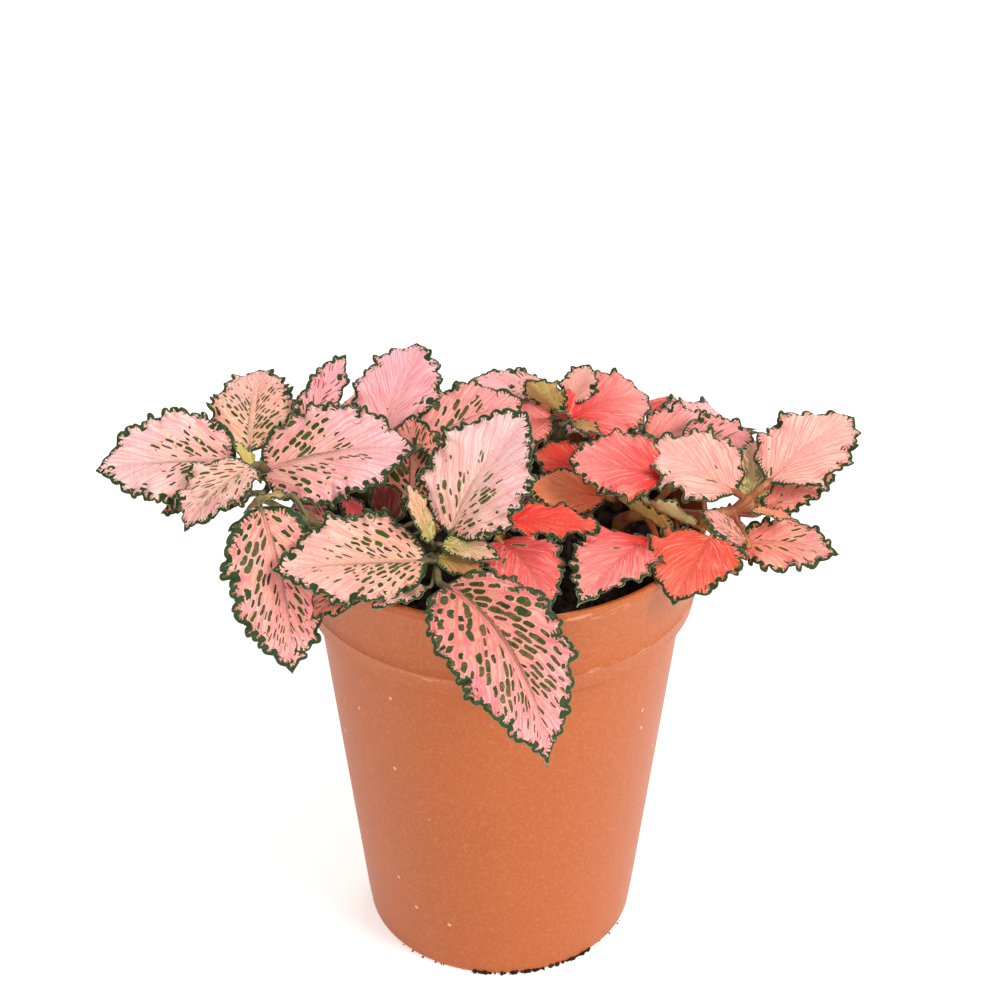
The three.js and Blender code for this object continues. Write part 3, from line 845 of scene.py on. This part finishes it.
def fleck_colours(tree, colour, w, a, row, rib, u, edge):
    """Adds cells in rows between the veins, some of them green and some only yellowish."""
    flecks, spread, _ = parts_of(tree, "traits")
    size, seed, rows = parts_of(tree, "extra")
    across = row.maths("FLOOR")
    chance = chances(across, seed)
    run = a / ((rows * -0.5 + 4.0) * (chance[1] * 0.6 + 0.8)) + chance[0]
    chance = chances(across, run.maths("FLOOR"), seed)
    wobble = noise(vector(w * 4.0, a, seed), 1.3)
    filling = wobble * 0.16 + size * 0.2 + chance[1] * 0.22 + 0.01
    filling = filling * (edge.step(0.5, 6.0) * 0.45 + 0.7) * (u * -0.4 + 1.1)
    aside = row.to_half()
    off = (aside / filling) ** 3.0 + (run.to_half() / (filling + 0.06)) ** 3.0
    halved = rows.below(1.3) * chance[2].below(0.4) * aside.step(0.09, 0.05)
    filled = off.step(1.25, 0.8) * (halved * -1.0 + 1.0)
    halo = off.step(2.6, 1.1) * (size * -0.6 + 0.75)

    patch = noise(vector(w, a * 0.4, seed), 0.7)
    here = (patch + spread - 0.5 - u - rib * 0.02).step(-0.12, 0.18)
    share = flecks * here
    green = chance[0].below(share) * rib.step(0.3, 0.7)
    ghost = chance[0].below(flecks * 0.45 + share) * off.step(0.8, 0.2) * (size * -0.5 + 0.7)
    colour = blend(ghost, colour, (0.66, 0.55, 0.2))
    colour = blend(halo * green, colour, PALE_GREEN)
    moss = blend(chance[1], (0.014, 0.034, 0.006), (0.046, 0.08, 0.012))
    return blend(filled * green, colour, moss)


def margin_colours(tree, colour, edge, round_rim, seed):
    """Adds the green margin, with teeth that run straight in from it, and a pale line along its
    very edge that is partly a pale-green edge and partly a painted highlight.
    """
    width = parts_of(tree, "traits")[2]
    drift = noise(vector(round_rim, edge, seed), 0.4)
    lean = noise(vector(round_rim, edge * 0.4, seed), 1.1)
    comb = ((lean * 1.6 + round_rim * 1.1).to_whole() * 2.0) ** 2.6 * lean
    inside = width * (comb * 2.5 + drift * 1.1) - edge
    colour = blend(inside.step(-0.25, 0.0) * 0.25, colour, PALE_GREEN)
    bottle = blend(drift, (0.010, 0.032, 0.010), (0.034, 0.075, 0.02))
    colour = blend(inside.step(-0.06, 0.08), colour, bottle)
    # the pale greyish-green line at the very edge: partly the margin's own pale edge, partly a
    # painted highlight
    return blend(edge.step(0.16, 0.04) * 0.55, colour, (0.42, 0.46, 0.28))


def leaf_material(name, lower):
    """Fine veins and rows of green flecks that fan out from the midrib to a green margin."""
    tree, shaded = material_tree(name)
    w, a, edge = parts_of(tree, "pattern")
    u, rib, round_rim = parts_of(tree, "place")
    _, seed, rows = parts_of(tree, "extra")
    face = "under" if lower else "tone"
    tone = node("Attribute", {}, tree, attribute_name=face).outputs["Color"]

    # the vein map, a little bent so that no two rows are alike
    inputs = {"Vector": vector(w, a * 0.4, seed), "Scale": 0.9}
    bend = split(node("TexNoise", inputs).outputs["Color"])
    w = bend[0] * 0.5 + w
    a = bend[1] * 1.6 + a
    row = w * rows + seed * 7.0
    colour, main, line = vein_colours(tone, w, a, row, rib, seed)
    colour = fleck_colours(tree, colour, w, a, row, rib, u, edge)
    colour = margin_colours(tree, colour, edge, round_rim, seed)

    # the midrib, brownish at the leaf's base
    middle = (u * -0.26 + 0.24 - rib).step(-0.12, 0.12)
    brown = tinted(tone, (0.6, 0.36, 0.3))
    brown = blend(u.step(0.0, 0.4), brown, tinted(tone, (1.0, 0.66, 0.66)))
    colour = blend(middle * (u * -1.1).maths("ADD", 0.8, clamp=True), colour, brown)
    if lower:
        colour = blend(main * 0.35, colour, tinted(tone, (1.2, 1.15, 1.1)))

    grain = noise(place_of(tree), 4500.0, 1.0)
    return shaded(
        Base_Color=colour,
        Roughness=grain * 0.2 + (0.5 if lower else 0.4),
        Normal=bump(grain * 0.25 - main * 0.5 - line * 0.35, 0.1),
        Specular_IOR_Level=0.2,
        Subsurface_Weight=0.12,
        Subsurface_Radius=(1.0, 0.35, 0.25),
        Subsurface_Scale=0.8 * MM,
    )


def stem_material(name, low, high, stripe):
    """Green to ochre, with fine darker patches."""
    tree, shaded = material_tree(name)
    where = place_of(tree)
    patches = noise(where, 160.0, 3.0)
    fine = noise(where, 900.0)
    colour = blend(patches.step(0.38, 0.62), rgb(low), rgb(high))
    return shaded(
        Base_Color=blend(fine.step(0.5, 0.7) * 0.45, colour, rgb(stripe)),
        Roughness=0.5,
        Normal=bump(fine, 0.2),
        Subsurface_Weight=0.1,
        Subsurface_Scale=1.0 * MM,
    )


def pot_material():
    """Moulded terracotta-coloured plastic: fine grain, pale specks, rubbed lip and collar."""
    tree, shaded = material_tree("terracotta_plastic")
    where = place_of(tree)
    x, y, height = split(where)
    clouds = noise(where, 28.0, 3.0)
    colour = blend(clouds, rgb("a85323"), rgb("b45d2a"))
    grain = noise(where, 1400.0, 2.0, 0.7)
    colour = blend(grain.step(0.42, 0.75) * 0.35, colour, rgb("d07d4e"))
    specks = node("TexVoronoi", {"Vector": where, "Scale": 260.0}).outputs
    few = split(specks["Color"])[0].below(0.06)
    dots = Number(specks["Distance"]).step(0.16, 0.08) * few
    colour = blend(dots * 0.5, colour, rgb("f5cdb4"))

    # scuffs lie along the ridge and the lip, and are longer than high
    smear = noise(vector(x, y, height * 5.0), 90.0, 5.0, 0.7)
    from_ridge = (height - RIDGE_HEIGHT * MM).maths("ABSOLUTE")
    from_lip = (height - (POT_HEIGHT - 1) * MM).maths("ABSOLUTE")
    worn = from_ridge.step(4 * MM, 0.5 * MM) * 0.1 + from_lip.step(3 * MM, 0.8 * MM) * 0.1
    rubbed = (worn + smear).step(0.68, 0.76)
    return shaded(
        Base_Color=blend(rubbed * 0.35, colour, rgb("f0ba9e")),
        Roughness=rubbed * 0.2 + clouds * 0.15 + 0.36,
        Normal=bump(grain, 0.05),
        Specular_IOR_Level=0.3,
    )


def soil_material():
    """Dark crumbly peat with brown fibres."""
    tree, shaded = material_tree("potting_mix")
    where = place_of(tree)
    x, y, z = split(where)
    lumps = noise(where, 300.0, 5.0, 0.65)
    fibres = noise(vector(x, y * 0.25, z), 900.0)
    colour = blend(lumps.step(0.35, 0.7), rgb("16100e"), rgb("3e2c22"))
    return shaded(
        Base_Color=blend(fibres.step(0.6, 0.72) * 0.5, colour, rgb("604430")),
        Roughness=0.92,
        Specular_IOR_Level=0.2,
        Normal=bump(lumps, 0.5),
    )


def floor_material():
    """A pale studio floor that stays white."""
    tree, shaded = material_tree("pale_floor")
    soft = noise(place_of(tree), 6.0)
    return shaded(
        Base_Color=blend(soft, rgb("f4f3f1"), rgb("f8f7f6")),
        Roughness=0.7,
        Emission_Color=(1, 1, 1),
        Emission_Strength=0.4,
    )


# ---- pot ----
def arc(centre, radius, start, end, count):
    """Points of an arc, angles in degrees."""
    angles = np.radians(np.linspace(start, end, count))
    return [(centre[0] + radius * math.cos(t), centre[1] + radius * math.sin(t)) for t in angles]


def pot_profile():
    """The pot's section from the middle of its foot, round outside and back inside, as (r, z)."""
    points = [(0, 0), (20, 0), (FOOT_RADIUS - 1.2, 0)]
    points += arc((FOOT_RADIUS - 0.95, 0.9), 0.9, -80, 5, 6)
    points += [(FOOT_RADIUS + LEAN * z, z) for z in range(6, int(COLLAR_HEIGHT) - 1, 8)]
    points += [(BODY_RADIUS - 0.05, COLLAR_HEIGHT - 1), (BODY_RADIUS, COLLAR_HEIGHT - 0.35)]
    points += arc((COLLAR_RADIUS - 0.45, COLLAR_HEIGHT + 0.4), 0.45, -80, 0, 6)
    points += [(RIDGE_RADIUS, RIDGE_HEIGHT - 0.4), (RIDGE_RADIUS + 0.15, RIDGE_HEIGHT - 0.15)]
    points += [(RIDGE_RADIUS + 0.25, RIDGE_HEIGHT + 0.05), (RIDGE_RADIUS + 0.2, RIDGE_HEIGHT + 0.3)]
    points += [(RIDGE_RADIUS + 0.1, RIDGE_HEIGHT + 0.5), (RIDGE_RADIUS + 0.3, RIDGE_HEIGHT + 3)]
    points += [(RIM_RADIUS - 0.35, POT_HEIGHT - 2.5)]
    points += arc((RIM_RADIUS - 0.35, POT_HEIGHT - 1.9), 0.35, -60, 0, 4)
    points += arc((RIM_RADIUS - 0.55, POT_HEIGHT - 0.55), 0.55, 5, 90, 6)
    points += arc((RIM_RADIUS - WALL + 0.25, POT_HEIGHT - 0.4), 0.4, 90, 175, 5)
    points += [(COLLAR_RADIUS - WALL + 0.4, COLLAR_HEIGHT + 5)]
    points += [(COLLAR_RADIUS - WALL, COLLAR_HEIGHT + 2)]
    points += [(BODY_RADIUS - WALL, COLLAR_HEIGHT - 1.4), (FOOT_RADIUS - WALL + LEAN * 40, 40)]
    points += [(FOOT_RADIUS - WALL + LEAN * FLOOR, FLOOR), (20, FLOOR), (0, FLOOR)]
    return points


def turned(profile, sides):
    """A closed solid of revolution whose profile starts and ends on the axis."""
    angle = np.linspace(0, 2 * np.pi, sides, endpoint=False)
    circle = np.stack([np.cos(angle), np.sin(angle), 0 * angle], 1)
    rings = [r * circle + z * UP for r, z in profile[1:-1]]
    ends = [[z * UP] for _, z in (profile[0], profile[-1])]
    return np.concatenate(rings + ends), *lace(len(rings), sides)


def cut(obj, cutter):
    """Takes the cutter's space out of the object, and removes the cutter."""
    modifier = obj.modifiers.new("cut", "BOOLEAN")
    modifier.operation = "DIFFERENCE"
    modifier.solver = "EXACT"
    modifier.object = cutter
    graph = bpy.context.evaluated_depsgraph_get()
    mesh = bpy.data.meshes.new_from_object(obj.evaluated_get(graph))
    obj.modifiers.clear()
    obj.data = mesh
    bpy.data.objects.remove(cutter)


def pot_object(material):
    """The pot, with the drain slots cut out of its floor."""
    vertices, quads, triangles = turned(pot_profile(), POT_SIDES)
    pot = mesh_object("pot_shell", vertices, [quads, triangles])
    blocks = []
    for k in range(DRAIN_SLOTS):
        angle = (k + 0.5) * 2 * math.pi / DRAIN_SLOTS
        out = np.array([math.cos(angle), math.sin(angle), 0])
        side = np.array([-math.sin(angle), math.cos(angle), 0]) * DRAIN_WIDTH / 2
        ring = ((DRAIN_INNER, -1), (DRAIN_OUTER, -1), (DRAIN_OUTER, 1), (DRAIN_INNER, 1))
        corners = [out * r + side * s + UP * z for z in (-1, FLOOR + 1) for r, s in ring]
        faces = [(0, 3, 2, 1), (4, 5, 6, 7), (0, 1, 5, 4), (1, 2, 6, 5), (2, 3, 7, 6), (3, 0, 4, 7)]
        blocks.append((corners, faces, []))
    vertices, quads, _ = join(blocks)
    cutter = mesh_object("drain_cutter", vertices, [quads], smooth=False)
    cut(pot, cutter)
    pot.data.materials.clear()
    pot.data.materials.append(material)
    pot.data.shade_smooth()
    pot.data.set_sharp_from_angle(angle=math.radians(40))
    return pot


# ---- potting mix ----
def ripple(x, y):
    """Low lumps of the mix's surface, in mm."""
    height = 0
    for k in range(10):
        angle = 2 * math.pi * draw(k, 71)
        rate = 0.12 * 1.42**k
        phase = 6.28 * draw(k, 72)
        turn = (x * math.cos(angle) + y * math.sin(angle)) * rate
        height = height + np.sin(turn + phase) * 0.9 / 1.28**k
    return height * 0.35


def soil_object(material):
    """The potting mix, with its lumpy surface a little lower along the wall."""
    gap = WALL + SOIL_GAP
    edge = COLLAR_RADIUS - gap + 0.6
    profile = [
        (0, FLOOR + SOIL_GAP),
        (FOOT_RADIUS - gap - 0.1 + LEAN * FLOOR, FLOOR + SOIL_GAP),
        (BODY_RADIUS - gap, COLLAR_HEIGHT - 1.6),
        (COLLAR_RADIUS - gap, COLLAR_HEIGHT + 2),
        (edge, SOIL_HEIGHT - 1.4),
    ]
    top = [(r, SOIL_HEIGHT) for r in np.linspace(edge - 0.8, 0.5, 70)]
    vertices, quads, triangles = turned(profile + top + [(0, SOIL_HEIGHT)], 150)
    surface = vertices[:, 2] > SOIL_HEIGHT - 0.5
    x, y = vertices[surface, 0], vertices[surface, 1]
    near_wall = np.clip((np.hypot(x, y) - 36) / 5, 0, 1)
    vertices[surface, 2] += ripple(x, y) - 0.9 * near_wall
    return mesh_object("soil_body", vertices, [quads, triangles], material)


def crumb(centre, size, rng):
    """One irregular lump of about that size."""
    t = (1 + 5**0.5) / 2
    v = np.array([(-1, t, 0), (1, t, 0), (-1, -t, 0), (1, -t, 0), (0, -1, t), (0, 1, t),
                  (0, -1, -t), (0, 1, -t), (t, 0, -1), (t, 0, 1), (-t, 0, -1), (-t, 0, 1)])
    f = [(0, 11, 5), (0, 5, 1), (0, 1, 7), (0, 7, 10), (0, 10, 11), (1, 5, 9), (5, 11, 4),
         (11, 10, 2), (10, 7, 6), (7, 1, 8), (3, 9, 4), (3, 4, 2), (3, 2, 6), (3, 6, 8),
         (3, 8, 9), (4, 9, 5), (2, 4, 11), (6, 2, 10), (8, 6, 7), (9, 8, 1)]
    v = v / np.linalg.norm(v[0]) * size / 2
    v = v * rng.uniform(0.7, 1.3, (12, 1)) * rng.uniform(0.55, 1.1, 3)
    spin, _ = np.linalg.qr(rng.normal(size=(3, 3)))
    if np.linalg.det(spin) < 0:
        spin[:, 0] *= -1
    return v @ spin.T + centre, [], f


def mix_crumb(rng, k):
    """Where one of the loose crumbs on the mix lies, and its size."""
    r = 40 * math.sqrt(rng.uniform(0, 1))
    angle = rng.uniform(0, 2 * math.pi)
    x, y = r * math.cos(angle), r * math.sin(angle)
    size = rng.uniform(0.7, 2.4) ** 1.15
    z = SOIL_HEIGHT + ripple(x, y) - 0.9 * max(0, (r - 36) / 5) + size * 0.15
    return np.array([x, y, z]), size


def foot_crumb(rng, k):
    """The same for peat that has worked out from under the foot, most of it at the front."""
    coarse = k < COARSE_FOOT_CRUMBS
    angle = math.radians(rng.uniform(-101, -46) if coarse else rng.uniform(-138, -24))
    size = rng.uniform(0.6, 1.5) if coarse else rng.uniform(0.3, 0.7)
    r = FOOT_RADIUS + rng.uniform(-0.6, 0.2)
    return np.array([r * math.cos(angle), r * math.sin(angle), size * 0.35]), size


def crumbs_object(name, place, count, seed, material):
    rng = np.random.default_rng(seed)
    vertices, _, triangles = join([crumb(*place(rng, k), rng) for k in range(count)])
    vertices[:, 2] = np.maximum(vertices[:, 2], 0.01)  # none goes into the floor
    return mesh_object(name, vertices, [triangles], material, smooth=False)


# ---- scene ----
def add_camera():
    """The photograph's viewing angle, which is the front of the frame."""
    back = Vector((0, -math.cos(CAMERA_ELEVATION), math.sin(CAMERA_ELEVATION)))
    camera = bpy.data.objects.new("camera", bpy.data.cameras.new("camera"))
    camera.data.lens = CAMERA_LENS
    camera.data.sensor_width = 36
    camera.data.clip_start = 0.01
    camera.location = CAMERA_TARGET + back * CAMERA_DISTANCE
    camera.rotation_euler = (-back).to_track_quat("-Z", "Y").to_euler()
    bpy.context.scene.collection.objects.link(camera)
    bpy.context.scene.camera = camera


def area_light(name, place, aim, size, power, colour):
    """A round soft light, in metres and watts."""
    data = bpy.data.lights.new(name, "AREA")
    data.shape = "DISK"
    data.size = size
    data.energy = power
    data.color = colour
    lamp = bpy.data.objects.new(name, data)
    lamp.location = place
    lamp.rotation_euler = (Vector(aim) - Vector(place)).to_track_quat("-Z", "Y").to_euler()
    bpy.context.scene.collection.objects.link(lamp)


def add_stage():
    """Soft studio light and a floor so large that its edge isn't seen."""
    world = bpy.data.worlds.new("studio")
    world.use_nodes = True
    background = world.node_tree.nodes["Background"]
    background.inputs["Color"].default_value = (1, 0.99, 0.98, 1)
    background.inputs["Strength"].default_value = 0.6
    bpy.context.scene.world = world
    bpy.context.scene.view_settings.view_transform = "Standard"
    area_light("key", (0.64, -0.46, 0.75), (0, 0, 0.09), 0.45, 6.9, (1, 0.98, 0.95))
    area_light("fill", (-0.16, -0.75, 0.4), (0, 0, 0.1), 0.5, 1.2, (0.99, 0.99, 1))
    area_light("back", (0.1, 0.7, 0.6), (0, 0, 0.1), 0.5, 2.0, (1, 1, 1))
    far = 4000
    corners = [(-far, -far, 0), (far, -far, 0), (far, far, 0), (-far, far, 0)]
    floor = mesh_object("floor", corners, [[(0, 1, 2, 3)]], floor_material())


def build():
    """The stage, then every piece in place of the frame's node or nodes that it stands for."""
    add_camera()
    add_stage()
    peat = soil_material()
    settle(pot_object(pot_material()), "pot", "pot")
    settle(soil_object(peat), "soil", "soil")
    settle(crumbs_object("soil_crumbs", mix_crumb, MIX_CRUMBS, 11, peat), "soil", "soil")
    settle(crumbs_object("foot_crumbs", foot_crumb, FOOT_CRUMBS, 5, peat), "soil")
    faces = [leaf_material("leaf_upper", False), leaf_material("leaf_lower", True)]
    stems = {
        "green": stem_material("stem_green", "4e442c", "746e42", "5c3a2a"),
        "ochre": stem_material("stem_ochre", "8e462a", "be7c3e", "6c3424"),
    }
    for name, (stem, leaves) in SHOOTS.items():
        red = name in ("shoot_right", "shoot_middle", "shoot_near_right")
        slot = "leaf_red" if red else "leaf_pink"
        bark = stems["ochre" if red else "green"]
        settle(stem_object(name + "_stem", stem, leaves, bark), slot, name)
        for k, item in enumerate(leaves):
            settle(leaf_object(f"{name}_leaf_{k + 1}", item, faces), slot, name)


build()
